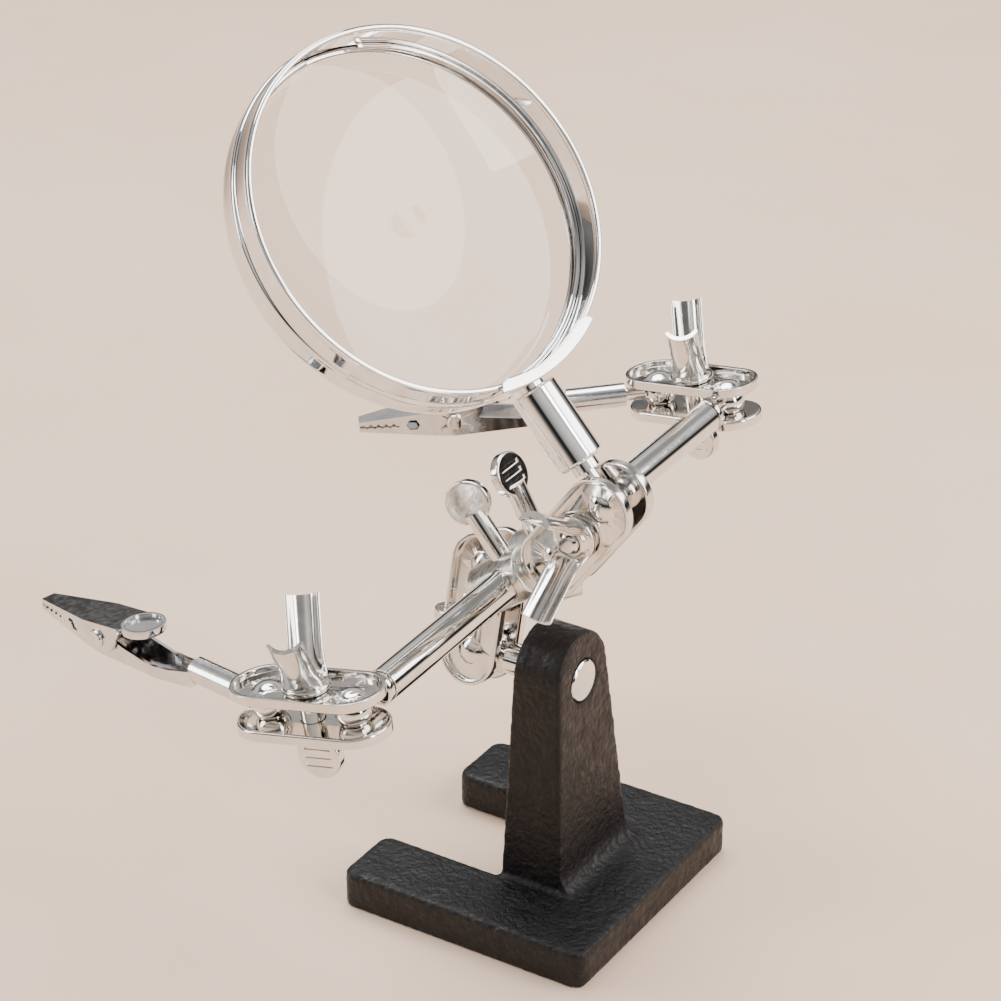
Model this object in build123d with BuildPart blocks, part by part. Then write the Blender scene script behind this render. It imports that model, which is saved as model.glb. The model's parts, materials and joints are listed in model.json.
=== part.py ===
from build123d import *

import os
from math import radians, tan

# Helping hands magnifier: a cast foot with an upright, a row of ball clamps, a round bar with a
# spring clip on each end, and a round lens in a chromed ring. Millimetres, +Z up. The origin is on
# the surface it stands on, under the middle of the upright; +X points from the legs to the front
# of the foot, and the bar runs along Y with its near end at -Y.

# --- Foot casting ---------------------------------------------------------------------------
foot_length = 51.5
foot_width = 54.0
foot_thickness = 7.4
foot_corner = 2.5
foot_edge = 0.9
notch_width = 24.4
leg_length = 25.3
upright_depth = 13.0
upright_slope = 3.5
upright_width = 24.4
upright_top_radius = 8.4
upright_web = 4.0
upright_rise_above_pin = 1.0
pin_height = 45.4

# --- Pin through the upright ----------------------------------------------------------------
pin_head_diameter = 8.0
pin_head_thickness = 2.0
pin_diameter = 6.0
pin_reach = 11.9
pin_edge = 0.3

# --- Ball joints, shared by every clamp -----------------------------------------------------
ball_diameter = 6.4
neck_diameter = 2.6
shoulder_distance = 6.6
ball_fit = 0.05
ball_spacing = 16.2
plate_width = 12.4
plate_gap = 4.6
sheet = 0.8
plate_rim = 1.9
plate_bend = 0.5
bolt_diameter = 4.0
bolt_clearance = 0.15
collar_diameter = 6.4
collar_thickness = 1.2
paddle_diameter = 8.3
paddle_thickness = 2.0
paddle_stand_off = 6.0
groove_count = 3
groove_width = 0.8
groove_depth = 0.25
nut_diameter = 8.2
nut_height = 2.6
wing_width = 5.7
wing_length = 14.5
wing_lean = 37.0
wing_sag = 1.3
bolt_end_above_nut = 1.0

# --- Bar, its blocks and their studs --------------------------------------------------------
bar_diameter = 6.0
bar_bore = 4.4
ball_to_ball = 124.3
bar_offset = 3.15
bar_yaw = 1.2
bar_climb = 2.9
end_flange = 1.4
end_groove = 0.5
end_plug_length = 9.0
end_edge = 0.4
block_diameter = 9.5
block_tail = 9.5
block_nose = 5.0
block_gap = 0.4
block_edge = 1.2
arm_reach = 13.0
stud_spigot_diameter = 3.5
stud_spigot_length = 1.7
stud_collar_diameter = 5.2
stud_cone = 0.5
screw_reach = 15.4
running_fit = 0.05
bar_fit = 0.08

# --- Lens ------------------------------------------------------------------------------------
ring_radius = 33.6
ring_depth = 10.2
ring_wall = 0.8
ring_bead = 0.45
ring_lip = 1.1
ring_edge = 0.3
ring_rear_edge = 0.2
bead_share_of_depth = 0.45
glass_clearance = 0.15
glass_seat = 0.25
glass_edge = 2.0
glass_bulge = 2.4
keeper_wire = 1.0
keeper_arc = 340.0
keeper_clearance = 0.05
stem_diameter = 4.8
stem_length = 20.0
socket_diameter = 8.4
socket_start = 8.3
socket_length = 15.1
socket_chamfer = 0.5
saddle_width = 5.4
saddle_stub_length = 2.6
saddle_sheet = 0.8
saddle_half_angle = 26.0
socket_to_ring = 1.05

# --- Spring clips ----------------------------------------------------------------------------
clip_reach = 59.0
barrel_diameter = 4.7
barrel_wall = 0.5
barrel_length = 11.5
clip_rod_length = 10.5
clip_sheet = 0.6
rivet_at = 40.5
rivet_height = 0.3
hole_at = 48.5
hole_size = 2.8
lower_jaw_half_width = 3.2
jaw_side_gap = 0.25
tip_half_width = 1.45
tip_height = 1.0
jaw_height = 3.2
mouth_gap = 0.1
ear_half_length = 3.6
ear_drop = 1.2
throat_length = 3.0
lever_rise = 0.7
lever_overhang = 2.2
lever_skirt = 1.5
neck_length = 8.5
neck_belly = 6.5
neck_lip = 0.6
trough_length = 9.5
trough_depth = 1.0
rivet_diameter = 1.8
rivet_head = 3.4
pad_length = 7.5
pad_width = 8.2
pad_height = 1.3
pad_at = 32.0
tooth_count = 5
tooth_pitch = 1.5
spring_wire = 0.6
spring_turns = 3.5
spring_pitch = 0.69
spring_leg_length = 3.3

# --- Pose that the stand is left in (degrees) -------------------------------------------------
base_link_lean = 15.0
base_link_roll = -4.6
pivot_arm_angle = 208.0
pivot_screw_angle = 118.0
lens_arm_angle = 37.5
lens_screw_angle = 127.5
lens_link_angle = 53.6
lens_stem_angle = 132.3
lens_stem_tilt = 2.0
lens_twist_angle = -11.6
near_link = (186.0, -10.0)
far_link = (175.0, -10.0)
near_clip = (168.0, -3.6)
far_clip = (216.4, -5.0)

ball_radius = ball_diameter / 2
neck_radius = neck_diameter / 2
plate_face = plate_gap / 2 + sheet
ring_outer = ring_radius + ring_bead
lens_reach = socket_start + socket_length + socket_to_ring + ring_outer

os.makedirs("parts", exist_ok=True)


# ---------------------------------------------------------------------------------------------
# Directions and frames
# ---------------------------------------------------------------------------------------------
def heading(turn, climb):
    """Direction turned from +X about Z by one angle, and raised by the other."""
    return Vector(1, 0, 0).rotate(Axis.Y, -climb).rotate(Axis.Z, turn)


def frame(origin, along, up):
    """Plane with X along one direction and Z as near to the other as a right angle allows."""
    side = up.cross(along).normalized()
    return Plane(origin=origin, x_dir=along, z_dir=along.cross(side))


def point(plane, x=0.0, y=0.0, z=0.0):
    """Place in the model of a point given in a plane's own frame."""
    return plane.from_local_coords(Vector(x, y, z))


def save(name, part):
    part.label = name
    export_step(part, f"parts/{name}.step")


back_face = -upright_depth / 2
pin_ball = Vector(back_face - pin_reach, 0, pin_height)
base_link = Vector(0, 0, 1).rotate(Axis.X, -base_link_lean)
base_up = Vector(0, 1, 0).rotate(Axis.X, -base_link_lean).rotate(Axis((0, 0, 0), base_link), base_link_roll)
base_clamp = frame(pin_ball, base_link, base_up)

# The bar frame's Z runs to the near end, X to the front and Y up, so that angles round the bar
# are counted from the front as seen from the near end.
toward_near = -heading(90 - bar_yaw, bar_climb)
bar_turn = Plane(origin=(0, 0, 0), x_dir=heading(-bar_yaw, 0), z_dir=toward_near)


def round_bar(angle):
    """Direction at right angles to the bar, at an angle round it."""
    return bar_turn.x_dir.rotate(Axis((0, 0, 0), bar_turn.z_dir), angle)


block_spacing = block_diameter + block_gap
pivot_ball = point(base_clamp, x=ball_spacing)
pivot_centre = pivot_ball - round_bar(pivot_arm_angle) * arm_reach
bar = Plane(origin=pivot_centre, x_dir=bar_turn.x_dir, z_dir=bar_turn.z_dir)
lens_centre_on_bar = point(bar, z=block_spacing)
near_ball = point(bar, z=ball_to_ball / 2 - bar_offset)
far_ball = point(bar, z=-ball_to_ball / 2 - bar_offset)

lens_arm_ball = lens_centre_on_bar + round_bar(lens_arm_angle) * arm_reach
lens_clamp = frame(lens_arm_ball, round_bar(lens_link_angle), toward_near)
stem_ball = point(lens_clamp, x=ball_spacing)
stem_line = round_bar(lens_stem_angle).rotate(
    Axis((0, 0, 0), round_bar(lens_stem_angle - 90)), -lens_stem_tilt
)
stem = Plane(origin=stem_ball, x_dir=round_bar(lens_stem_angle - 90), z_dir=stem_line)
lens_axis = stem.x_dir.rotate(Axis((0, 0, 0), stem_line), lens_twist_angle)
lens = Plane(origin=stem_ball + stem_line * lens_reach, x_dir=stem_line, z_dir=lens_axis)

near_clamp = frame(near_ball, heading(*near_link), Vector(0, 0, 1))
far_clamp = frame(far_ball, heading(*far_link), Vector(0, 0, 1))
near_clip_frame = frame(point(near_clamp, x=ball_spacing), heading(*near_clip), Vector(0, 0, 1))
far_clip_frame = frame(point(far_clamp, x=ball_spacing), heading(*far_clip), Vector(0, 0, 1))


# ---------------------------------------------------------------------------------------------
# Foot casting and the pin through its upright
# ---------------------------------------------------------------------------------------------
foot_back = back_face - leg_length
upright_top_centre = pin_height + upright_rise_above_pin
upright_top = upright_top_centre + upright_top_radius
front_face = back_face + upright_depth
pin_share = (pin_height - foot_thickness) / (upright_top - foot_thickness)
front_face_at_pin = front_face - upright_slope * pin_share
pin_line = Plane(origin=pin_ball, x_dir=(0, 1, 0), z_dir=(1, 0, 0))

with BuildPart() as base_casting:
    with BuildSketch():
        with Locations((foot_back + foot_length / 2, 0)):
            Rectangle(foot_length, foot_width)
        with Locations((foot_back + leg_length / 2, 0)):
            Rectangle(leg_length, notch_width, mode=Mode.SUBTRACT)
        ends = [v for v in vertices() if abs(v.X - back_face) > 0.1]
        fillet(ends, foot_corner)
    extrude(amount=foot_thickness)
    fillet(faces().sort_by(Axis.Z)[-1].outer_wire().edges(), foot_edge)
    with BuildSketch(Plane.YZ.offset(back_face)):
        with Locations((0, upright_top_centre)):
            Circle(upright_top_radius)
        with Locations((0, foot_thickness / 2)):
            Rectangle(upright_width, foot_thickness)
        make_hull()
    extrude(amount=upright_depth)
    with BuildSketch(Plane.XZ):
        with BuildLine():
            Polyline(
                (front_face, foot_thickness),
                (front_face - upright_slope, upright_top),
                (front_face, upright_top),
                close=True,
            )
        make_face()
    extrude(amount=foot_width, both=True, mode=Mode.SUBTRACT)
    root = edges().filter_by(Axis.Y).filter_by_position(Axis.Z, foot_thickness - 0.1, foot_thickness + 0.1)
    fillet(root.filter_by_position(Axis.X, front_face - 0.1, front_face + 0.1), upright_web)
    with Locations(Plane(origin=(back_face, 0, pin_height), z_dir=(1, 0, 0))):
        Cylinder(pin_diameter / 2 + running_fit, 2 * upright_depth, mode=Mode.SUBTRACT)
    with Locations(Plane(origin=(front_face_at_pin - pin_head_thickness, 0, pin_height), z_dir=(1, 0, 0))):
        Cylinder(
            pin_head_diameter / 2 + running_fit,
            upright_depth,
            align=(Align.CENTER, Align.CENTER, Align.MIN),
            mode=Mode.SUBTRACT,
        )
save("base_casting", base_casting.part)


# ---------------------------------------------------------------------------------------------
# Ball joints: stems, clamp plates, thumb screws and wing nuts
# ---------------------------------------------------------------------------------------------
def ball_stem(at, outline):
    """Ball on a thin neck along the plane's Z, then the turned shape beyond its shoulder."""
    with BuildPart() as piece:
        with BuildSketch(Plane(origin=at.origin, x_dir=at.x_dir, z_dir=-at.y_dir)):
            with BuildLine():
                Polyline(
                    (0, 0),
                    (neck_radius, 0),
                    (neck_radius, shoulder_distance),
                    *[(radius, distance) for distance, radius in outline],
                    (0, outline[-1][0]),
                    close=True,
                )
            make_face()
        revolve(axis=Axis(at.origin, at.z_dir))
        with Locations(at):
            Sphere(ball_radius)
    return piece.part


def clamp_plate(at):
    """Pressed plate on one side of a ball clamp; the plane's Z points away from the balls."""
    inner_face = at.offset(plate_gap / 2)
    dome_radius = ball_radius + ball_fit + sheet
    ball_places = [(0, 0, 0), (ball_spacing, 0, 0)]
    with BuildPart(at) as plate:
        with Locations(*ball_places):
            Sphere(dome_radius)
        split(bisect_by=inner_face, keep=Keep.TOP)
        with BuildSketch(inner_face):
            with Locations((ball_spacing / 2, 0)):
                SlotCenterToCenter(ball_spacing, plate_width)
        extrude(amount=sheet)
        with BuildSketch(inner_face):
            with Locations((ball_spacing / 2, 0)):
                SlotCenterToCenter(ball_spacing, plate_width)
                SlotCenterToCenter(ball_spacing, plate_width - 2 * sheet, mode=Mode.SUBTRACT)
        extrude(amount=plate_rim)
        fillet(faces().sort_by(Axis(at.origin, at.z_dir))[0].outer_wire().edges(), plate_bend)
        with Locations(*ball_places):
            Sphere(ball_radius + ball_fit, mode=Mode.SUBTRACT)
        with Locations((ball_spacing / 2, 0, 0)):
            Cylinder(bolt_diameter / 2 + bolt_clearance, 4 * plate_gap, mode=Mode.SUBTRACT)
    return plate.part


def thumb_screw(at, facing, length, collar=None):
    """Ridged round paddle on a shank along the plane's Z; the paddle faces an angle round Z."""
    paddle_face = at.x_dir.rotate(Axis((0, 0, 0), at.z_dir), facing)
    middle = Plane(origin=at.origin, x_dir=at.z_dir, z_dir=paddle_face)
    with BuildPart() as screw:
        with BuildSketch(middle):
            Circle(paddle_diameter / 2)
        extrude(amount=paddle_thickness / 2, both=True)
        fillet(edges().filter_by(GeomType.CIRCLE), paddle_thickness / 5)
        for side in (1, -1):
            with BuildSketch(middle.offset(side * (paddle_thickness / 2 - groove_depth))):
                with GridLocations(2 * groove_width, 0, groove_count, 1):
                    Rectangle(groove_width, paddle_diameter - 4 * groove_width)
            extrude(amount=side * 2 * groove_depth, mode=Mode.SUBTRACT)
        with BuildSketch(at.offset(paddle_diameter / 4)):
            Circle(bolt_diameter / 2)
        extrude(amount=length - paddle_diameter / 4)
        chamfer(faces().sort_by(Axis(at.origin, at.z_dir))[-1].edges(), bolt_diameter / 8)
        if collar is not None:
            with BuildSketch(at.offset(collar)):
                Circle(collar_diameter / 2)
            extrude(amount=collar_thickness)
    return screw.part


def wing_nut(at, turn):
    """Pressed nut with two channel-shaped wings that lean outward; it seats on the plane."""
    bore = bolt_diameter / 2 + running_fit
    hub_radius = nut_diameter / 2
    root_radius = hub_radius - wing_sag - sheet
    with BuildPart(at) as nut:
        Cylinder(hub_radius, nut_height, align=(Align.CENTER, Align.CENTER, Align.MIN))
        fillet(edges().filter_by(GeomType.CIRCLE).sort_by(Axis(at.origin, at.z_dir))[-1], nut_height / 3)
        for side in (turn, turn + 180):
            outward = at.x_dir.rotate(Axis((0, 0, 0), at.z_dir), side)
            across = at.z_dir.cross(outward)
            wing_line = at.z_dir.rotate(Axis((0, 0, 0), across), wing_lean)
            foot = at.origin + at.z_dir * (nut_height / 2) + outward * root_radius
            with BuildSketch(Plane(origin=foot, x_dir=across, z_dir=wing_line)):
                with BuildLine():
                    ThreePointArc((-wing_width / 2, wing_sag), (0, 0), (wing_width / 2, wing_sag))
                    offset(amount=sheet / 2)
                make_face()
            extrude(amount=wing_length)
        Cylinder(bore, 3 * nut_height, mode=Mode.SUBTRACT)
    return nut.part


def clamp_hardware(prefix, at, plate_names, bolt_facing, wing_turn):
    """Two plates, the thumb bolt through them and its wing nut on the side the plane faces."""
    bolt_line = Plane(origin=point(at, x=ball_spacing / 2), x_dir=at.x_dir, z_dir=at.z_dir)
    other_side = Plane(origin=at.origin, x_dir=at.x_dir, z_dir=-at.z_dir)
    save(f"{prefix}_plate_{plate_names[0]}", clamp_plate(at))
    save(f"{prefix}_plate_{plate_names[1]}", clamp_plate(other_side))
    paddle_centre = plate_face + paddle_stand_off
    bolt_length = paddle_centre + plate_face + nut_height + bolt_end_above_nut
    collar = paddle_stand_off - collar_thickness
    save(f"{prefix}_bolt", thumb_screw(bolt_line.offset(-paddle_centre), bolt_facing, bolt_length, collar))
    save(f"{prefix}_wing_nut", wing_nut(bolt_line.offset(plate_face), wing_turn))


pin_length = front_face_at_pin - pin_ball.X
pin_outline = [
    (shoulder_distance, pin_diameter / 2),
    (pin_length - pin_head_thickness, pin_diameter / 2),
    (pin_length - pin_head_thickness, pin_head_diameter / 2),
    (pin_length - pin_edge, pin_head_diameter / 2),
    (pin_length, pin_head_diameter / 2 - pin_edge),
]
save("base_pin", ball_stem(pin_line, pin_outline))
clamp_hardware("base_clamp", base_clamp, ("rear", "front"), 0, 60)
clamp_hardware("lens_clamp", lens_clamp, ("front", "rear"), 0, -143.6)
clamp_hardware("near_clamp", near_clamp, ("upper", "lower"), 90, -69)
clamp_hardware("far_clamp", far_clamp, ("upper", "lower"), 90, -58)


# ---------------------------------------------------------------------------------------------
# Bar, end balls, cross blocks, studs and thumb screws
# ---------------------------------------------------------------------------------------------
def bar_end(at):
    """Ball plug for one end of the bar tube; the plane's Z points from the ball into the tube."""
    flange_end = shoulder_distance + end_flange
    plug_start = flange_end + end_groove
    plug_radius = bar_bore / 2 - running_fit
    outline = [
        (shoulder_distance, bar_diameter / 2 - end_edge),
        (shoulder_distance + end_edge, bar_diameter / 2),
        (flange_end, bar_diameter / 2),
        (flange_end, plug_radius),
        (plug_start + end_plug_length, plug_radius),
    ]
    return ball_stem(at, outline)


tube_inset = shoulder_distance + end_flange + end_groove
tube_length = ball_to_ball - 2 * tube_inset
with BuildPart() as main_bar:
    with BuildSketch(bar.offset(-bar_offset - tube_length / 2)):
        Circle(bar_diameter / 2)
        Circle(bar_bore / 2, mode=Mode.SUBTRACT)
    extrude(amount=tube_length)
save("main_bar", main_bar.part)
into_near_end = Plane(origin=near_ball, x_dir=bar.x_dir, z_dir=-bar.z_dir)
into_far_end = Plane(origin=far_ball, x_dir=bar.x_dir, z_dir=bar.z_dir)
save("bar_end_near", bar_end(into_near_end))
save("bar_end_far", bar_end(into_far_end))


def cross_block(centre, arm_angle, screw_angle):
    """Round block across the bar, bored for the bar, its thumb screw and its ball stud."""
    arm = Plane(origin=centre, x_dir=bar.z_dir, z_dir=round_bar(arm_angle))
    bar_line = Plane(origin=centre, x_dir=bar.x_dir, z_dir=bar.z_dir)
    screw_line = Plane(origin=centre, x_dir=bar.z_dir, z_dir=round_bar(screw_angle))
    with BuildPart() as block:
        with BuildSketch(arm.offset(-block_tail)):
            Circle(block_diameter / 2)
        extrude(amount=block_tail + block_nose)
        ends = edges().filter_by(GeomType.CIRCLE).sort_by(Axis(arm.origin, arm.z_dir))
        fillet(ends[0], 2 * block_edge)
        fillet(ends[-1], block_edge / 2)
        with Locations(bar_line):
            Cylinder(bar_diameter / 2 + bar_fit, 2 * block_diameter, mode=Mode.SUBTRACT)
        with Locations(screw_line):
            Cylinder(
                bolt_diameter / 2 + running_fit,
                block_diameter,
                align=(Align.CENTER, Align.CENTER, Align.MIN),
                mode=Mode.SUBTRACT,
            )
        with Locations(arm.offset(block_nose - stud_spigot_length)):
            Cylinder(
                stud_spigot_diameter / 2 + running_fit,
                block_diameter,
                align=(Align.CENTER, Align.CENTER, Align.MIN),
                mode=Mode.SUBTRACT,
            )
    return block.part


def ball_stud(ball, arm_angle):
    """Ball and stepped neck that stand in the nose of a cross block."""
    toward_block = Plane(origin=ball, x_dir=bar.z_dir, z_dir=-round_bar(arm_angle))
    nose = arm_reach - block_nose
    outline = [
        (shoulder_distance, stud_spigot_diameter / 2),
        (shoulder_distance + stud_cone, stud_collar_diameter / 2),
        (nose - ball_fit, stud_collar_diameter / 2),
        (nose - ball_fit, stud_spigot_diameter / 2),
        (nose + stud_spigot_length - running_fit, stud_spigot_diameter / 2),
    ]
    return ball_stem(toward_block, outline)


def block_screw(centre, angle, facing):
    """Thumb screw whose tip stands just clear of the bar in a cross block."""
    outward = round_bar(angle)
    paddle = Plane(origin=centre + outward * screw_reach, x_dir=bar.z_dir, z_dir=-outward)
    return thumb_screw(paddle, facing, screw_reach - bar_diameter / 2 - running_fit)


save("pivot_block", cross_block(pivot_centre, pivot_arm_angle, pivot_screw_angle))
save("pivot_stud", ball_stud(pivot_ball, pivot_arm_angle))
save("pivot_block_screw", block_screw(pivot_centre, pivot_screw_angle, 90))
save("lens_block", cross_block(lens_centre_on_bar, lens_arm_angle, lens_screw_angle))
save("lens_stud", ball_stud(lens_arm_ball, lens_arm_angle))
save("lens_block_screw", block_screw(lens_centre_on_bar, lens_screw_angle, -20))


# ---------------------------------------------------------------------------------------------
# Lens: stem, socket, saddle, ring, glass and keeper
# ---------------------------------------------------------------------------------------------
stem_outline = [(shoulder_distance, stem_diameter / 2), (stem_length, stem_diameter / 2)]
save("lens_stem", ball_stem(stem, stem_outline))

with BuildPart() as lens_socket:
    with BuildSketch(stem.offset(socket_start)):
        Circle(socket_diameter / 2)
    extrude(amount=socket_length)
    chamfer(edges(), socket_chamfer)
    with BuildSketch(stem.offset(socket_start)):
        Circle(stem_diameter / 2 + running_fit)
    extrude(amount=socket_length, mode=Mode.SUBTRACT)
save("lens_socket", lens_socket.part)

seat_height = -ring_depth / 2 + ring_wall
wall_inside = ring_radius - ring_wall
lip_inside = wall_inside - ring_lip
half_depth = ring_depth / 2
bead_height = -half_depth + bead_share_of_depth * ring_depth
bead_half = 2 * ring_bead
ring_outline = [
    (lip_inside, -half_depth),
    (ring_radius - ring_edge, -half_depth),
    (ring_radius, -half_depth + ring_edge),
    (ring_radius, bead_height - bead_half),
    (ring_outer, bead_height - bead_half / 2),
    (ring_outer, bead_height + bead_half / 2),
    (ring_radius, bead_height + bead_half),
    (ring_radius, half_depth - ring_edge),
    (ring_radius - ring_edge, half_depth),
    (wall_inside + ring_rear_edge, half_depth),
    (wall_inside, half_depth - ring_rear_edge),
    (wall_inside, seat_height),
    (lip_inside, seat_height),
]
with BuildPart() as lens_ring:
    with BuildSketch(Plane(origin=lens.origin, x_dir=lens.x_dir, z_dir=-lens.y_dir)):
        with BuildLine():
            Polyline(*ring_outline, close=True)
        make_face()
    revolve(axis=Axis(lens.origin, lens.z_dir))
save("lens_ring", lens_ring.part)

glass_radius = wall_inside - glass_clearance
glass_low = seat_height + glass_seat
glass_high = glass_low + glass_edge
glass_curve = (glass_radius**2 + glass_bulge**2) / (2 * glass_bulge)
with BuildPart() as lens_glass:
    with BuildSketch(Plane(origin=lens.origin, x_dir=lens.x_dir, z_dir=-lens.y_dir)):
        with BuildLine():
            Line((0, glass_low - glass_bulge), (0, glass_high + glass_bulge))
            RadiusArc((0, glass_high + glass_bulge), (glass_radius, glass_high), glass_curve)
            Line((glass_radius, glass_high), (glass_radius, glass_low))
            RadiusArc((glass_radius, glass_low), (0, glass_low - glass_bulge), glass_curve)
        make_face()
    revolve(axis=Axis(lens.origin, lens.z_dir))
save("lens_glass", lens_glass.part)

keeper_radius = wall_inside - keeper_wire / 2 - keeper_clearance
keeper_rise = glass_high + keeper_wire / 2 + glass_clearance
with BuildPart() as lens_keeper:
    with BuildSketch(Plane(origin=lens.origin, x_dir=lens.x_dir, z_dir=-lens.y_dir)):
        with Locations((keeper_radius, keeper_rise)):
            Circle(keeper_wire / 2)
    revolve(axis=Axis(lens.origin, lens.z_dir), revolution_arc=keeper_arc)
save("lens_keeper", lens_keeper.part)

saddle_inner = ring_radius + running_fit
saddle_outer = saddle_inner + saddle_sheet
saddle_front = half_depth + saddle_sheet
saddle_back = saddle_front - saddle_width
with BuildPart() as lens_saddle:
    with BuildSketch(lens.offset(saddle_back)):
        Circle(saddle_outer)
        Circle(saddle_inner, mode=Mode.SUBTRACT)
    extrude(amount=saddle_width)
    with BuildSketch(lens.offset(half_depth + running_fit)):
        Circle(saddle_outer)
        Circle(wall_inside - saddle_sheet, mode=Mode.SUBTRACT)
    extrude(amount=saddle_sheet - running_fit)
    with BuildSketch(lens.offset(saddle_back)):
        with BuildLine():
            reach = 2 * saddle_outer
            Polyline(
                (0, 0),
                (-reach, reach * tan(radians(saddle_half_angle))),
                (-reach, -reach * tan(radians(saddle_half_angle))),
                close=True,
            )
        make_face()
    extrude(amount=saddle_width, mode=Mode.INTERSECT)
    with BuildSketch(stem.offset(socket_start + socket_length - saddle_stub_length)):
        Circle(stem_diameter / 2)
    extrude(amount=saddle_stub_length + socket_to_ring - running_fit)
save("lens_saddle", lens_saddle.part)


# ---------------------------------------------------------------------------------------------
# Spring clips: stem, lower jaw with its crimped barrel, upper jaw, rivet and spring
# ---------------------------------------------------------------------------------------------
barrel_radius = barrel_diameter / 2
barrel_start = shoulder_distance + 0.2
barrel_end = barrel_start + barrel_length
rod_radius = barrel_radius - barrel_wall
upper_half_width = lower_jaw_half_width + jaw_side_gap + clip_sheet
ear_start = rivet_at - ear_half_length
ear_end = rivet_at + ear_half_length
throat = ear_end + throat_length
lever_start = ear_start - lever_overhang
lever_height = jaw_height + lever_rise
jaw_inside = clip_reach - clip_sheet
crimp_end = barrel_end - clip_sheet
belly = jaw_height - clip_sheet / 3

lower_plan = [
    (crimp_end, barrel_radius),
    (barrel_end + neck_length, lower_jaw_half_width),
    (ear_end, lower_jaw_half_width),
    (clip_reach, tip_half_width),
]
lower_side = [
    (crimp_end, -barrel_radius),
    (barrel_end + neck_belly, -belly),
    (rivet_at, -jaw_height),
    (clip_reach, -tip_height),
    (clip_reach, -mouth_gap),
    (throat, -mouth_gap),
    (ear_end, jaw_height - ear_drop),
    (rivet_at, jaw_height - ear_drop),
    (ear_start + clip_sheet, jaw_height - 2 * ear_drop),
    (lever_start, 0),
    (barrel_end + trough_length, -trough_depth),
    (barrel_end + trough_length / 2, -neck_lip),
    (crimp_end, neck_lip),
]
lower_hollow_side = [
    (crimp_end, -barrel_radius + clip_sheet),
    (barrel_end + neck_belly, -belly + clip_sheet),
    (rivet_at, -jaw_height + clip_sheet),
    (jaw_inside, -tip_height + clip_sheet),
    (jaw_inside, jaw_height),
    (crimp_end, jaw_height),
]
upper_plan = [
    (lever_start, upper_half_width),
    (ear_end, upper_half_width),
    (clip_reach, tip_half_width),
]
upper_side = [
    (lever_start, lever_height),
    (lever_start, lever_height - lever_skirt),
    (ear_start, -ear_drop),
    (ear_end, -ear_drop),
    (throat, mouth_gap),
    (clip_reach, mouth_gap),
    (clip_reach, tip_height),
    (rivet_at, jaw_height),
]
upper_hollow_side = [
    (lever_start - clip_sheet, -jaw_height),
    (lever_start - clip_sheet, lever_height - clip_sheet),
    (rivet_at, jaw_height - clip_sheet),
    (jaw_inside, tip_height - clip_sheet),
    (jaw_inside, -jaw_height),
]


def inset(plan):
    """The same outline from above, one sheet thickness further in."""
    return [(x, half_width - clip_sheet) for x, half_width in plan]


def crossed(at, plan, side):
    """Solid that has one outline from above, as half widths, and another from the side."""
    outline = plan + [(x, -half_width) for x, half_width in reversed(plan)]
    with BuildPart() as piece:
        with BuildSketch(at):
            with BuildLine():
                Polyline(*outline, close=True)
            make_face()
        extrude(amount=clip_reach, both=True)
        with BuildSketch(Plane(origin=at.origin, x_dir=at.x_dir, z_dir=-at.y_dir)):
            with BuildLine():
                Polyline(*side, close=True)
            make_face()
        extrude(amount=clip_reach, both=True, mode=Mode.INTERSECT)
    return piece.part


def clip_body(at):
    """Lower jaw: a pressed channel that narrows into the barrel crimped round the stem."""
    outside = crossed(at, lower_plan, lower_side)
    hollow = crossed(at, inset(lower_plan), lower_hollow_side)
    barrel_line = Plane(origin=at.origin, x_dir=at.y_dir, z_dir=at.x_dir)
    side_view = Plane(origin=at.origin, x_dir=at.x_dir, z_dir=-at.y_dir)
    with BuildPart() as body:
        add(outside)
        add(hollow, mode=Mode.SUBTRACT)
        with BuildSketch(barrel_line.offset(barrel_start)):
            Circle(barrel_radius)
        extrude(amount=barrel_length)
        with BuildSketch(barrel_line.offset(barrel_start)):
            Circle(rod_radius + running_fit)
        extrude(amount=barrel_length, mode=Mode.SUBTRACT)
        with BuildSketch(at.offset(rod_radius / 2)):
            with Locations(((barrel_start + barrel_end) / 2, 0)):
                Rectangle(barrel_length, barrel_wall)
        extrude(amount=barrel_diameter, mode=Mode.SUBTRACT)
        with BuildSketch(side_view):
            with Locations((hole_at, 0)):
                RegularPolygon(hole_size / 2, 6)
            with Locations((rivet_at, rivet_height)):
                Circle(rivet_diameter / 2 + running_fit)
            for tooth in range(tooth_count):
                with Locations((clip_reach - (tooth + 1) * tooth_pitch, -mouth_gap)):
                    RegularPolygon(tooth_pitch / 3, 4)
        extrude(amount=clip_reach, both=True, mode=Mode.SUBTRACT)
    return body.part


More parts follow.
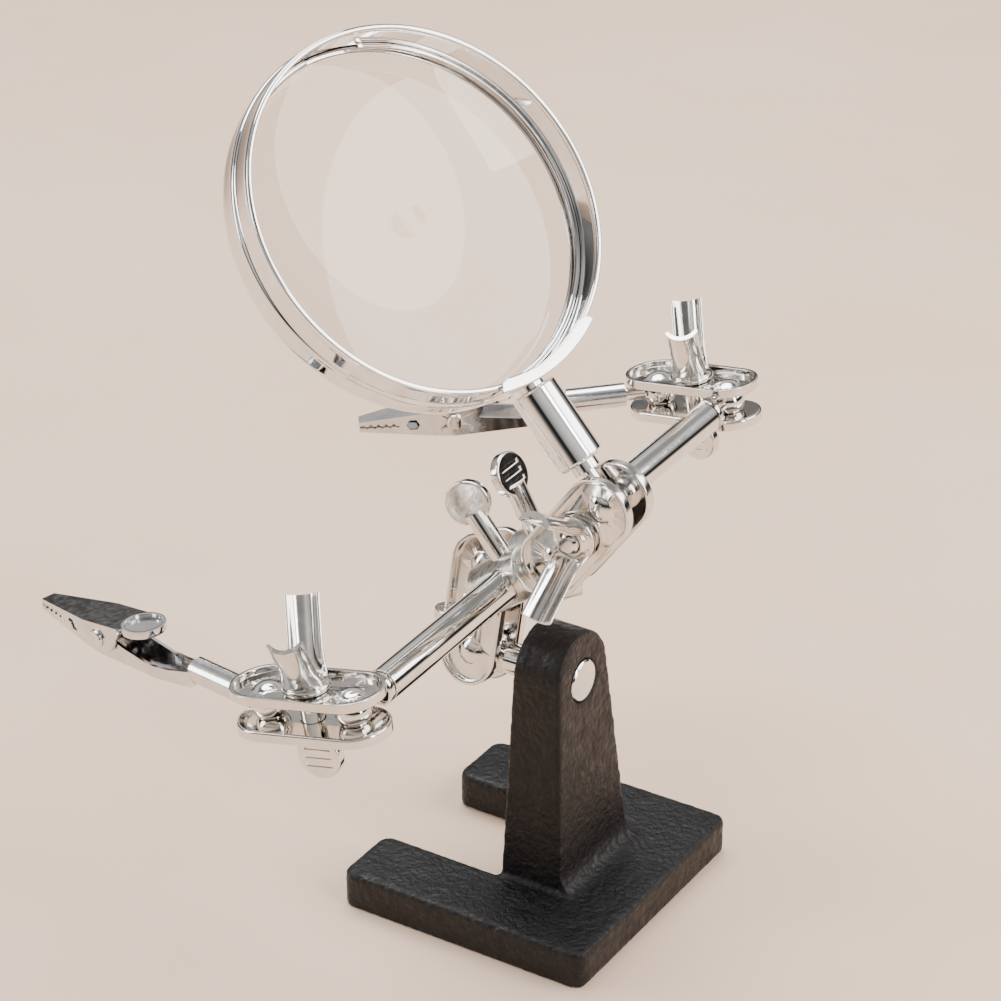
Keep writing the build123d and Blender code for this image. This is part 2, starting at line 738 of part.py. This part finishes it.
def clip_jaw(at):
    """Upper jaw: an inverted channel with a flat top, toothed mouth and dished thumb pad."""
    outside = crossed(at, upper_plan, upper_side)
    open_back = [(lever_start - clip_sheet, upper_half_width)]
    hollow = crossed(at, inset(open_back + upper_plan[1:]), upper_hollow_side)
    side_view = Plane(origin=at.origin, x_dir=at.x_dir, z_dir=-at.y_dir)
    pad_low = lever_height - pad_height / 2
    with BuildPart() as jaw:
        add(outside)
        add(hollow, mode=Mode.SUBTRACT)
        with BuildSketch(at.offset(pad_low)):
            with Locations((pad_at, 0)):
                Ellipse(pad_length / 2, pad_width / 2)
        extrude(amount=pad_height)
        with BuildSketch(at.offset(pad_low + clip_sheet)):
            with Locations((pad_at, 0)):
                Ellipse(pad_length / 2 - clip_sheet, pad_width / 2 - clip_sheet)
        extrude(amount=pad_height, mode=Mode.SUBTRACT)
        with BuildSketch(side_view):
            with Locations((hole_at, 0)):
                RegularPolygon(hole_size / 2, 6)
            with Locations((rivet_at, rivet_height)):
                Circle(rivet_diameter / 2 + running_fit)
            for tooth in range(tooth_count):
                with Locations((clip_reach - (tooth + 0.5) * tooth_pitch, mouth_gap)):
                    RegularPolygon(tooth_pitch / 3, 4)
        extrude(amount=clip_reach, both=True, mode=Mode.SUBTRACT)
    return jaw.part


def clip_rivet(at):
    """Rivet across the jaws, with a low domed head outside each side."""
    across = Plane(origin=point(at, x=rivet_at, z=rivet_height), x_dir=at.x_dir, z_dir=at.y_dir)
    head_start = upper_half_width + running_fit
    with BuildPart() as rivet:
        with BuildSketch(across):
            Circle(rivet_diameter / 2)
        extrude(amount=head_start, both=True)
        for side in (1, -1):
            with BuildSketch(across.offset(side * head_start)):
                Circle(rivet_head / 2)
            extrude(amount=side * clip_sheet, taper=20)
    return rivet.part


def clip_spring(at):
    """Torsion spring round the rivet, both legs pointing back under the thumb pad."""
    coil_radius = rivet_diameter / 2 + spring_wire
    coil_length = spring_turns * spring_pitch
    coil_start = point(at, x=rivet_at, y=-coil_length / 2, z=rivet_height)
    across = Plane(origin=coil_start, x_dir=at.z_dir, z_dir=at.y_dir)
    leg_start = [point(across, x=coil_radius), point(across, x=-coil_radius, z=coil_length)]
    coil = across * Helix(pitch=spring_pitch, height=coil_length, radius=coil_radius)
    with BuildPart() as spring:
        with BuildSketch(Plane(origin=coil @ 0, z_dir=coil % 0)):
            Circle(spring_wire / 2)
        sweep(path=coil, is_frenet=True)
        for start in leg_start:
            with BuildSketch(Plane(origin=start + at.x_dir * spring_wire, z_dir=-at.x_dir)):
                Circle(spring_wire / 2)
            extrude(amount=spring_wire + spring_leg_length)
    return spring.part


for name, clip_frame in (("near", near_clip_frame), ("far", far_clip_frame)):
    stem_line_out = Plane(origin=clip_frame.origin, x_dir=clip_frame.y_dir, z_dir=clip_frame.x_dir)
    rod_outline = [(shoulder_distance, rod_radius), (shoulder_distance + clip_rod_length, rod_radius)]
    save(f"{name}_clip_stem", ball_stem(stem_line_out, rod_outline))
    save(f"{name}_clip_body", clip_body(clip_frame))
    save(f"{name}_clip_jaw", clip_jaw(clip_frame))
    save(f"{name}_clip_rivet", clip_rivet(clip_frame))
    save(f"{name}_clip_spring", clip_spring(clip_frame))
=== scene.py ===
import json
import math

import bpy
import numpy as np
from mathutils import Matrix, Vector


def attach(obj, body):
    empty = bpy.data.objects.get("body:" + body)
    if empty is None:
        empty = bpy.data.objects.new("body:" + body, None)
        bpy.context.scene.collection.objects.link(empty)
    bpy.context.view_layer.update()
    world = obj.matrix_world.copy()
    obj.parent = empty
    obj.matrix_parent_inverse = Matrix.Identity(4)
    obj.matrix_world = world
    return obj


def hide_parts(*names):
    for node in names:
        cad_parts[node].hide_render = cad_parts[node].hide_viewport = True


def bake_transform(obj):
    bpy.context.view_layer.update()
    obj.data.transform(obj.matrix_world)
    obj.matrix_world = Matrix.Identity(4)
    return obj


# A helping hands magnifier. The fixed frame gives every ball, bolt and rivet its place through the
# joints; the sizes below, in metres, are those of the real pieces.
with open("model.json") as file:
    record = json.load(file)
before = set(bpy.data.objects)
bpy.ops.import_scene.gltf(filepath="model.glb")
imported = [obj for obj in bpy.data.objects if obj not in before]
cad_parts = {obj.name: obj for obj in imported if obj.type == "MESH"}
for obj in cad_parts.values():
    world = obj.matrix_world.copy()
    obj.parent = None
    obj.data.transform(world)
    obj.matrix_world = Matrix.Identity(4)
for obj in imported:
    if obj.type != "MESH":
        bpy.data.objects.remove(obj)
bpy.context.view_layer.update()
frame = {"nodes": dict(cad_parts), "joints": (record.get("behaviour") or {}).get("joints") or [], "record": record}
MM = 0.001

# ---------------------------------------------------------------------------------------------
# Sizes
# ---------------------------------------------------------------------------------------------
BALL_RADIUS = 3.2 * MM
NECK_RADIUS = 1.3 * MM
SHOULDER = 6.6 * MM
BAR_RADIUS = 3.0 * MM
TURNS = 128

joints = {joint["name"]: joint for joint in frame["joints"]}


def place(joint):
    return np.array(joints[joint]["pos_m"])


def line(joint):
    axis = np.array(joints[joint]["axis"], dtype=float)
    return axis / np.linalg.norm(axis)


def flat_axis(node):
    """Normal of a disc-like node: the direction in which its points spread least."""
    mesh = frame["nodes"][node].data
    points = np.empty(len(mesh.vertices) * 3)
    mesh.vertices.foreach_get("co", points)
    points = points.reshape(-1, 3)
    points = np.unique(points.round(7), axis=0)
    return np.linalg.svd(points - points.mean(0), full_matrices=False)[2][2]


# ---------------------------------------------------------------------------------------------
# Finishes
# ---------------------------------------------------------------------------------------------
def blank_finish(name):
    material = bpy.data.materials.new(name)
    material.use_nodes = True
    nodes = material.node_tree.nodes
    return material, nodes, material.node_tree.links, nodes["Principled BSDF"]


def grain(nodes, links, scale, detail=3.0, stretch=None):
    """Noise on Object coordinates, stretched along an axis when asked."""
    where = nodes.new("ShaderNodeTexCoord")
    noise = nodes.new("ShaderNodeTexNoise")
    noise.inputs["Scale"].default_value = scale
    noise.inputs["Detail"].default_value = detail
    source = where.outputs["Object"]
    if stretch is not None:
        mapping = nodes.new("ShaderNodeMapping")
        mapping.inputs["Scale"].default_value = stretch
        links.new(source, mapping.inputs["Vector"])
        source = mapping.outputs["Vector"]
    links.new(source, noise.inputs["Vector"])
    return noise.outputs["Fac"]


def spread(nodes, links, value, low, high):
    """Noise value stretched over a range."""
    ramp = nodes.new("ShaderNodeMapRange")
    ramp.inputs["From Min"].default_value = 0.3
    ramp.inputs["From Max"].default_value = 0.7
    ramp.inputs["To Min"].default_value = low
    ramp.inputs["To Max"].default_value = high
    links.new(value, ramp.inputs["Value"])
    return ramp.outputs["Result"]


def tint(nodes, links, value, dark, light):
    ramp = nodes.new("ShaderNodeValToRGB")
    ramp.color_ramp.elements[0].position = 0.3
    ramp.color_ramp.elements[0].color = (*dark, 1)
    ramp.color_ramp.elements[1].position = 0.7
    ramp.color_ramp.elements[1].color = (*light, 1)
    links.new(value, ramp.inputs["Fac"])
    return ramp.outputs["Color"]


def bump(nodes, links, value, shader, height, strength=1.0):
    node = nodes.new("ShaderNodeBump")
    node.inputs["Distance"].default_value = height
    node.inputs["Strength"].default_value = strength
    links.new(value, node.inputs["Height"])
    links.new(node.outputs["Normal"], shader.inputs["Normal"])
    return node


def plated(name, dark, light, smooth, rough, wave=0.00002, wave_scale=160.0):
    """Bright plating: slight tarnish in colour and gloss, and the faint waviness of thin plate."""
    material, nodes, links, shader = blank_finish(name)
    shader.inputs["Metallic"].default_value = 1.0
    cloud = grain(nodes, links, 230.0, 4.0)
    smear = grain(nodes, links, 900.0, 2.0, stretch=(1.0, 1.0, 0.25))
    links.new(tint(nodes, links, cloud, dark, light), shader.inputs["Base Color"])
    links.new(spread(nodes, links, smear, smooth, rough), shader.inputs["Roughness"])
    bump(nodes, links, grain(nodes, links, wave_scale, 2.0), shader, wave)
    return material


def crinkle_enamel():
    """Black enamel over rough iron: fine wrinkles on broad sand-cast unevenness."""
    material, nodes, links, shader = blank_finish("crinkle_black_enamel")
    cloud = grain(nodes, links, 300.0, 4.0)
    links.new(tint(nodes, links, cloud, (0.002, 0.002, 0.0025), (0.006, 0.006, 0.0068)), shader.inputs["Base Color"])
    links.new(spread(nodes, links, grain(nodes, links, 520.0, 3.0), 0.34, 0.58), shader.inputs["Roughness"])
    shader.inputs["Specular IOR Level"].default_value = 0.3
    coarse = bump(nodes, links, grain(nodes, links, 260.0, 3.0), shader, 0.0005, 0.5)
    fine = nodes.new("ShaderNodeBump")
    fine.inputs["Distance"].default_value = 0.00045
    fine.inputs["Strength"].default_value = 0.75
    links.new(grain(nodes, links, 950.0, 4.0), fine.inputs["Height"])
    links.new(coarse.outputs["Normal"], fine.inputs["Normal"])
    links.new(fine.outputs["Normal"], shader.inputs["Normal"])
    return material


def clear_glass():
    """Ground clear glass with the slightest smear of handling on it."""
    material, nodes, links, shader = blank_finish("clear_lens_glass")
    shader.inputs["Base Color"].default_value = (0.985, 0.975, 0.965, 1)
    shader.inputs["Transmission Weight"].default_value = 1.0
    shader.inputs["IOR"].default_value = 1.5
    links.new(spread(nodes, links, grain(nodes, links, 60.0, 3.0), 0.0, 0.02), shader.inputs["Roughness"])
    return material


enamel = crinkle_enamel()
bright_nickel = plated("bright_nickel", (0.70, 0.68, 0.65), (0.84, 0.82, 0.79), 0.05, 0.16)
polished_rod = plated("polished_rod", (0.74, 0.73, 0.71), (0.86, 0.85, 0.83), 0.03, 0.10, 0.000008)
satin_nickel = plated("satin_nickel", (0.70, 0.68, 0.64), (0.82, 0.80, 0.76), 0.22, 0.34, 0.00003, 500.0)
mirror_chrome = plated("mirror_chrome", (0.80, 0.80, 0.80), (0.90, 0.90, 0.90), 0.015, 0.06, 0.000006)
clip_steel = plated("clip_steel", (0.62, 0.62, 0.63), (0.76, 0.76, 0.77), 0.08, 0.2, 0.00002)
spring_steel = plated("spring_steel", (0.30, 0.29, 0.28), (0.5, 0.49, 0.47), 0.2, 0.4)
glass = clear_glass()

FINISHES = {
    "black_enamel": enamel,
    "bright_plate": bright_nickel,
    "polished_rod": polished_rod,
    "satin_nickel": satin_nickel,
    "mirror_chrome": mirror_chrome,
    "clip_steel": clip_steel,
    "spring_wire": spring_steel,
    "lens_glass": glass,
}
slots = {part["node"]: part["material_slot"] for part in frame["record"]["subparts"]}


def dress(obj, material):
    obj.data.materials.clear()
    obj.data.materials.append(material)


def soften(obj, width=0.12 * MM):
    """Breaks the sharp edges of a CAD node with a narrow rounded bevel."""
    weld = obj.modifiers.new("weld", "WELD")
    weld.merge_threshold = 1e-6
    bevel = obj.modifiers.new("broken_edges", "BEVEL")
    bevel.width = width
    bevel.segments = 2
    bevel.limit_method = "ANGLE"
    bevel.angle_limit = math.radians(38)
    normals = obj.modifiers.new("even_shading", "WEIGHTED_NORMAL")
    normals.keep_sharp = False


def sand_cast(obj):
    """Rounds a casting as its enamel does, and roughens it: even small faces, relaxed, then dented."""
    remesh = obj.modifiers.new("even_faces", "REMESH")
    remesh.mode = "VOXEL"
    remesh.voxel_size = 0.42 * MM
    remesh.use_smooth_shade = True
    relax = obj.modifiers.new("soft_edges", "SMOOTH")
    relax.factor = 0.6
    relax.iterations = 9
    crinkle = bpy.data.textures.new("crinkle", "CLOUDS")
    crinkle.noise_scale = 0.95 * MM
    crinkle.noise_depth = 3
    dents = obj.modifiers.new("dents", "DISPLACE")
    dents.texture = crinkle
    dents.texture_coords = "LOCAL"
    dents.strength = 0.2 * MM
    dents.mid_level = 1.0


for node, obj in frame["nodes"].items():
    dress(obj, FINISHES[slots[node]])
    if node == "base_casting":
        sand_cast(obj)
    elif node not in ("lens_glass", "near_clip_spring", "far_clip_spring"):
        soften(obj)


# ---------------------------------------------------------------------------------------------
# Surfaces
# ---------------------------------------------------------------------------------------------
def unit(vector):
    return np.asarray(vector, dtype=float) / np.linalg.norm(vector)


def axes(along, up):
    """Three right-handed directions as rows: along, sideways, and the one nearest to up."""
    first = unit(along)
    second = unit(np.cross(up, first))
    return np.array([first, second, np.cross(first, second)])


def signed_power(value, power):
    return np.sign(value) * np.abs(value) ** power


def eased(corners, ease, closed, steps=7):
    """Outline whose corners are parabolas: each starts and ends `ease` away from its corner."""
    corners = np.asarray(corners, dtype=float)
    before = np.roll(corners, 1, axis=0) - corners
    after = np.roll(corners, -1, axis=0) - corners
    reach_before = np.linalg.norm(before, axis=1, keepdims=True)
    reach_after = np.linalg.norm(after, axis=1, keepdims=True)
    start = corners + before * np.minimum(ease / reach_before, 0.45)
    end = corners + after * np.minimum(ease / reach_after, 0.45)
    t = np.linspace(0, 1, steps)[None, :, None]
    curve = (1 - t) ** 2 * start[:, None] + 2 * t * (1 - t) * corners[:, None] + t**2 * end[:, None]
    if closed:
        return curve.reshape(-1, corners.shape[1])
    return np.vstack([corners[:1], curve[1:-1].reshape(-1, corners.shape[1]), corners[-1:]])


def tube_faces(grid, loop):
    """Quads of a grid whose columns close on themselves; its two ends are faces unless rows loop too."""
    rows, columns = grid.shape[:2]
    index = np.arange(rows * columns).reshape(rows, columns)
    if loop:
        index = np.vstack([index, index[:1]])
    index = np.hstack([index, index[:, :1]])
    quads = np.stack([index[:-1, :-1], index[1:, :-1], index[1:, 1:], index[:-1, 1:]], axis=-1)
    quads = quads.reshape(-1, 4)
    points = grid.reshape(-1, 3)
    corners = points[quads]
    normals = np.cross(corners[:, 2] - corners[:, 0], corners[:, 3] - corners[:, 1])
    outward = np.sum((corners.mean(1) - points.mean(0)) * normals) > 0
    faces = quads.tolist()
    if not loop:
        faces += [index[0, :-1].tolist(), index[-2 if loop else -1, :-1][::-1].tolist()]
    if not outward:
        faces = [face[::-1] for face in faces]
    return points, faces


def piece(name, grids, finish, slot_name, body, *stands_for):
    """One mesh of closed grids, each given with whether its rows loop."""
    vertices = []
    faces = []
    count = 0
    for grid, loop in grids:
        points, own_faces = tube_faces(grid, loop)
        vertices.append(points)
        faces += [[corner + count for corner in face] for face in own_faces]
        count += len(points)
    mesh = bpy.data.meshes.new(name)
    mesh.from_pydata(np.vstack(vertices).tolist(), [], faces)
    mesh.polygons.foreach_set("use_smooth", np.ones(len(mesh.polygons), dtype=bool))
    mesh.set_sharp_from_angle(angle=math.radians(50))
    mesh.update()
    obj = bpy.data.objects.new(name, mesh)
    bpy.context.collection.objects.link(obj)
    dress(obj, finish)
    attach(obj, body)
    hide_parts(*stands_for)
    return obj


def turned(profile, origin, axis, columns=TURNS):
    """Surface of revolution: every (height, radius) of the profile carried round the axis."""
    across = axes(axis, (0.3, 0.5, 0.8))
    angle = np.linspace(0, 2 * np.pi, columns, endpoint=False)
    spoke = np.cos(angle)[:, None] * across[1] + np.sin(angle)[:, None] * across[2]
    height, radius = np.asarray(profile).T
    return origin + height[:, None, None] * across[0] + radius[:, None, None] * spoke[None]


# ---------------------------------------------------------------------------------------------
# Wing nuts
# ---------------------------------------------------------------------------------------------
PLATE_FACE = 3.1 * MM
BALL_SPACING = 16.2 * MM
NUT_BORE = 2.05 * MM
NUT_RADIUS = 4.1 * MM
NUT_HEIGHT = 2.6 * MM
WING_SHEET = 0.85 * MM
WING_ROOT = 2.4 * MM
WING_TIP = (10.7 * MM, 12.4 * MM)


def wing(seat, outward, axis):
    """Channel wing: an arc-shaped sheet section swept from the hub outward and up to the tip.

    The section's half angle opens from nearly flat in the hub to a deep channel at the tip, and its
    half width narrows along the way; the hollow faces the nut's axis.
    """
    path = eased([(0.9 * MM, 0.9 * MM), (WING_ROOT + 0.6 * MM, 0.9 * MM), WING_TIP], 3.0 * MM, False, 24)
    path = np.vstack([path[:-1], np.linspace(path[-2], path[-1], 12)[1:]])
    run = np.r_[0, np.cumsum(np.linalg.norm(np.diff(path, axis=0), axis=1))]
    share = run / run[-1]
    tangent = np.gradient(path, run, axis=0)
    tangent /= np.linalg.norm(tangent, axis=1, keepdims=True)
    curl = np.clip(share / 0.4, 0, 1) ** 1.2
    half_angle = np.radians(24 + 50 * curl - 8 * share)
    half_width = (3.5 - 0.75 * curl + 0.1 * share) * MM
    radius = half_width / np.sin(half_angle)
    turn = np.linspace(0, 2 * np.pi, 56, endpoint=False)
    around = half_angle[:, None] * signed_power(np.cos(turn), 0.55)[None]
    thick = radius[:, None] + WING_SHEET / 2 * signed_power(np.sin(turn), 0.45)[None]
    across = thick * np.sin(around)
    inward = radius[:, None] - thick * np.cos(around)
    inward_out = -tangent[:, 1:2]
    inward_up = tangent[:, 0:1]
    out = path[:, 0:1] + inward * inward_out
    up = path[:, 1:2] + inward * inward_up
    side = np.cross(axis, outward)
    return seat + out[..., None] * outward + up[..., None] * axis + across[..., None] * side


def wing_nut(prefix, body, first_ball, second_ball, turn):
    """Pressed wing nut: a dished hub round the bolt, and two channel wings on opposite sides."""
    axis = line(prefix + "_nut_turn")
    link = unit(place(second_ball) - place(first_ball))
    seat = place(prefix + "_nut_turn") + axis * PLATE_FACE
    hub = eased(
        [
            (0, NUT_BORE),
            (0, NUT_RADIUS - 0.5 * MM),
            (0.7 * MM, NUT_RADIUS + 0.25 * MM),
            (1.5 * MM, NUT_RADIUS),
            (NUT_HEIGHT - 0.9 * MM, NUT_RADIUS - 1.0 * MM),
            (NUT_HEIGHT, NUT_RADIUS - 1.3 * MM),
            (NUT_HEIGHT, NUT_BORE),
        ],
        0.45 * MM,
        True,
    )
    grids = [(turned(hub, seat, axis), True)]
    for angle in (turn, turn + 180):
        lean = math.radians(angle)
        outward = link * math.cos(lean) + np.cross(axis, link) * math.sin(lean)
        grids.append((wing(seat, outward, axis), False))
    name = prefix + "_clamp_wing_nut"
    return piece(name + "_formed", grids, bright_nickel, slots[name], body, name)


wing_nut("near", "near_nut", "near_clamp_swing", "near_clip_swing", -69)
wing_nut("far", "far_nut", "far_clamp_swing", "far_clip_swing", -58)
wing_nut("lens", "lens_nut", "lens_clamp_swing", "lens_stem_swing", -143.6)
wing_nut("base", "base_nut", "base_clamp_swing", "pivot_swing", 60)

# ---------------------------------------------------------------------------------------------
# Lens ring and saddle
# ---------------------------------------------------------------------------------------------
RING_RADIUS = 33.6 * MM
RING_DEPTH = 10.2 * MM
RING_WALL = 0.8 * MM
RING_LIP = 1.1 * MM
BEAD = 0.45 * MM
SOCKET_END = 23.4 * MM
SOCKET_TO_RING = 1.05 * MM
LENS_REACH = SOCKET_END + SOCKET_TO_RING + RING_RADIUS + BEAD
SADDLE_SHEET = 0.8 * MM
SADDLE_WIDTH = 5.4 * MM
SADDLE_FROM = -16.0
SADDLE_TO = 25.0
STEM_RADIUS = 2.4 * MM

stem_line = line("lens_twist")
lens_axis = flat_axis("lens_glass")
lens_axis = lens_axis * np.sign(lens_axis[0])
lens_centre = place("lens_twist") + stem_line * LENS_REACH


def lens_ring():
    """Spun ring: a thin wall with a rounded front lip, a bead round it, and a lip behind the glass."""
    half = RING_DEPTH / 2
    inside = RING_RADIUS - RING_WALL
    bead_at = -half + 0.45 * RING_DEPTH
    profile = eased(
        [
            (-half, inside - RING_LIP),
            (-half, RING_RADIUS - 0.1 * MM),
            (-half + 0.9 * MM, RING_RADIUS),
            (bead_at - 2.2 * BEAD, RING_RADIUS - 0.05 * MM),
            (bead_at - 1.2 * BEAD, RING_RADIUS + BEAD),
            (bead_at + 1.2 * BEAD, RING_RADIUS + BEAD),
            (bead_at + 2.2 * BEAD, RING_RADIUS - 0.05 * MM),
            (half - 1.3 * MM, RING_RADIUS - 0.1 * MM),
            (half - 0.9 * MM, RING_RADIUS),
            (half, RING_RADIUS - 0.1 * MM),
            (half, inside - 0.25 * MM),
            (half - 0.9 * MM, inside - 0.2 * MM),
            (half - 1.4 * MM, inside),
            (-half + RING_WALL, inside),
            (-half + RING_WALL, inside - RING_LIP),
        ],
        0.4 * MM,
        True,
    )
    grids = [(turned(profile, lens_centre, lens_axis, 320), True)]
    return piece("lens_ring_spun", grids, mirror_chrome, slots["lens_ring"], "lens", "lens_ring")


def lens_saddle():
    """Saddle: an angle section bent round the ring and over its front lip, with a scalloped inner edge.

    Each row is the eased angle section at one angle round the lens; the inner edge of its front
    flange moves in and out with the angle as a row of scallops. A stub joins it to the socket.
    """
    half = RING_DEPTH / 2
    front = half + SADDLE_SHEET
    inner = RING_RADIUS + 0.05 * MM
    outer = inner + SADDLE_SHEET
    back = front - SADDLE_WIDTH
    lip = RING_RADIUS - RING_WALL - SADDLE_SHEET
    angle = np.radians(np.linspace(SADDLE_FROM, SADDLE_TO, 140))
    to_end = np.minimum(angle - angle[0], angle[-1] - angle)
    end = np.clip(to_end / np.radians(3.5), 0, 1) ** 0.5
    scallop = 0.75 * MM * (0.5 - 0.5 * np.abs(np.sin(4.5 * angle))) + 1.4 * MM * (1 - end)
    section = eased(
        [(back, inner), (back, outer), (front, outer), (front, lip), (half, lip), (half, inner)], 0.35 * MM, True
    )
    height, radius = section.T
    edge = np.clip((inner - radius) / (inner - lip), 0, 1)
    radii = radius[None] + edge[None] * scallop[:, None]
    heights = height[None] + (1 - end[:, None]) * 1.2 * MM * np.clip((half - height) / SADDLE_WIDTH, 0, 1)[None]
    away = -stem_line
    side = np.cross(lens_axis, away)
    spoke = np.cos(angle)[:, None] * away + np.sin(angle)[:, None] * side
    band = lens_centre + radii[..., None] * spoke[:, None] + heights[..., None] * lens_axis
    stub_low = SOCKET_END - 2.6 * MM
    stub_high = SOCKET_END + SOCKET_TO_RING + 0.2 * MM
    stub = turned(
        [(stub_low, 0.01 * MM), (stub_low, STEM_RADIUS), (stub_high, STEM_RADIUS), (stub_high, 0.01 * MM)],
        place("lens_twist"),
        stem_line,
    )
    return piece(
        "lens_saddle_pressed", [(band, False), (stub, False)], mirror_chrome, slots["lens_saddle"], "lens", "lens_saddle"
    )


lens_ring()
lens_saddle()

# ---------------------------------------------------------------------------------------------
# Clip springs
# ---------------------------------------------------------------------------------------------
WIRE_RADIUS = 0.3 * MM
COIL_RADIUS = 1.5 * MM
COIL_PITCH = 0.69 * MM
COIL_TURNS = 3.5
LEG_LENGTH = 3.1 * MM


def clip_spring(end):
    """Torsion spring: a round wire swept along a leg, a helix round the rivet, and the other leg.
    """
    rivet = line(end + "_jaw_open")
    outward = axes(rivet, line(end + "_clip_twist"))[2]
    up = np.cross(outward, -rivet) if np.cross(outward, rivet)[2] < 0 else np.cross(outward, rivet)
    centre = place(end + "_jaw_open")
    turn = np.linspace(0, 2 * np.pi * COIL_TURNS, 260)
    along = (turn / (2 * np.pi) - COIL_TURNS / 2) * COIL_PITCH
    coil = COIL_RADIUS * (np.sin(turn)[:, None] * outward + np.cos(turn)[:, None] * up) + along[:, None] * rivet
    back = np.linspace(LEG_LENGTH, 0, 12, endpoint=False)[:, None] * -outward
    path = centre + np.vstack([coil[0] + back, coil, (coil[-1] + back)[::-1]])
    run = np.r_[0, np.cumsum(np.linalg.norm(np.diff(path, axis=0), axis=1))]
    tangent = np.gradient(path, run, axis=0)
    tangent /= np.linalg.norm(tangent, axis=1, keepdims=True)
    side = rivet - tangent * (tangent @ rivet)[:, None]
    side /= np.linalg.norm(side, axis=1, keepdims=True)
    third = np.cross(tangent, side)
    angle = np.linspace(0, 2 * np.pi, 14, endpoint=False)[None, :, None]
    grid = path[:, None] + WIRE_RADIUS * (np.cos(angle) * side[:, None] + np.sin(angle) * third[:, None])
    points, faces = tube_faces(grid, False)
    mesh = bpy.data.meshes.new(end + "_clip_spring_wound")
    mesh.from_pydata(points.tolist(), [], faces)
    mesh.polygons.foreach_set("use_smooth", np.ones(len(mesh.polygons), dtype=bool))
    mesh.update()
    obj = bpy.data.objects.new(mesh.name, mesh)
    bpy.context.collection.objects.link(obj)
    dress(obj, spring_steel)
    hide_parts(end + "_clip_spring")
    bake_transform(obj)


clip_spring("near")
clip_spring("far")

# ---------------------------------------------------------------------------------------------
# Floor, light and camera
# ---------------------------------------------------------------------------------------------
def pale_floor():
    material, nodes, links, shader = blank_finish("pale_floor")
    cloud = grain(nodes, links, 9.0, 4.0)
    links.new(tint(nodes, links, cloud, (0.80, 0.58, 0.43), (0.86, 0.64, 0.49)), shader.inputs["Base Color"])
    shader.inputs["Roughness"].default_value = 0.75
    return material


def flat_square(name, size, material):
    mesh = bpy.data.meshes.new(name)
    half = size / 2
    corners = [(-half, -half, 0), (half, -half, 0), (half, half, 0), (-half, half, 0)]
    mesh.from_pydata(corners, [], [(0, 1, 2, 3)])
    obj = bpy.data.objects.new(name, mesh)
    bpy.context.collection.objects.link(obj)
    dress(obj, material)
    return obj


flat_square("floor", 6.0, pale_floor())


def softbox(name, where, target, size, power, colour=(1, 1, 1), shape="RECTANGLE"):
    light = bpy.data.lights.new(name, "AREA")
    light.shape = shape
    light.size, light.size_y = size
    light.energy = power
    light.color = colour
    obj = bpy.data.objects.new(name, light)
    bpy.context.collection.objects.link(obj)
    aim = Vector(target) - Vector(where)
    obj.location = where
    obj.rotation_euler = aim.to_track_quat("-Z", "Y").to_euler()
    return obj


HEART = (0.0, 0.0, 0.07)
softbox("overhead_softbox", (-0.35, 0.25, 1.05), HEART, (0.9, 0.7), 15.0, shape="ELLIPSE")
softbox("side_softbox", (0.95, -0.15, 0.55), HEART, (0.22, 0.9), 7.0)
softbox("left_softbox", (-0.9, -0.55, 0.5), HEART, (0.25, 0.8), 6.0)
softbox("lens_softbox", (0.75, 0.47, 0.72), (0, 0, 0.12), (0.85, 0.75), 10.0, (1.0, 0.94, 0.91), "ELLIPSE")


def studio_world():
    """Dim room with bright panels: bands of elevation."""
    world = bpy.data.worlds.new("studio")
    bpy.context.scene.world = world
    world.use_nodes = True
    nodes = world.node_tree.nodes
    links = world.node_tree.links
    where = nodes.new("ShaderNodeTexCoord")
    parts = nodes.new("ShaderNodeSeparateXYZ")
    links.new(where.outputs["Generated"], parts.inputs["Vector"])
    ramp = nodes.new("ShaderNodeValToRGB")
    links.new(parts.outputs["Z"], ramp.inputs["Fac"])
    stops = ((0.0, 0.2), (0.08, 0.03), (0.2, 0.02), (0.3, 0.4), (0.60, 1.0), (0.68, 0.42), (0.86, 0.1), (1.0, 0.8))
    while len(ramp.color_ramp.elements) < len(stops):
        ramp.color_ramp.elements.new(0.5)
    for element, (position, shade) in zip(ramp.color_ramp.elements, stops):
        element.position = position
        element.color = (shade, shade * 0.97, shade * 0.94, 1)
    links.new(ramp.outputs["Color"], nodes["Background"].inputs["Color"])
    nodes["Background"].inputs["Strength"].default_value = 1.0


studio_world()

VIEW_ROUND = math.radians(32.1)
VIEW_ABOVE = math.radians(27.9)
camera_data = bpy.data.cameras.new("camera")
camera_data.lens = 118.7
camera_data.sensor_width = 36.0
camera_data.clip_end = 20.0
camera = bpy.data.objects.new("camera", camera_data)
bpy.context.collection.objects.link(camera)
camera.location = (0.2602, -0.4372, 0.3502)
back = Vector(
    (
        math.sin(VIEW_ROUND) * math.cos(VIEW_ABOVE),
        -math.cos(VIEW_ROUND) * math.cos(VIEW_ABOVE),
        math.sin(VIEW_ABOVE),
    )
)
camera.rotation_euler = back.to_track_quat("Z", "Y").to_euler()
bpy.context.scene.camera = camera
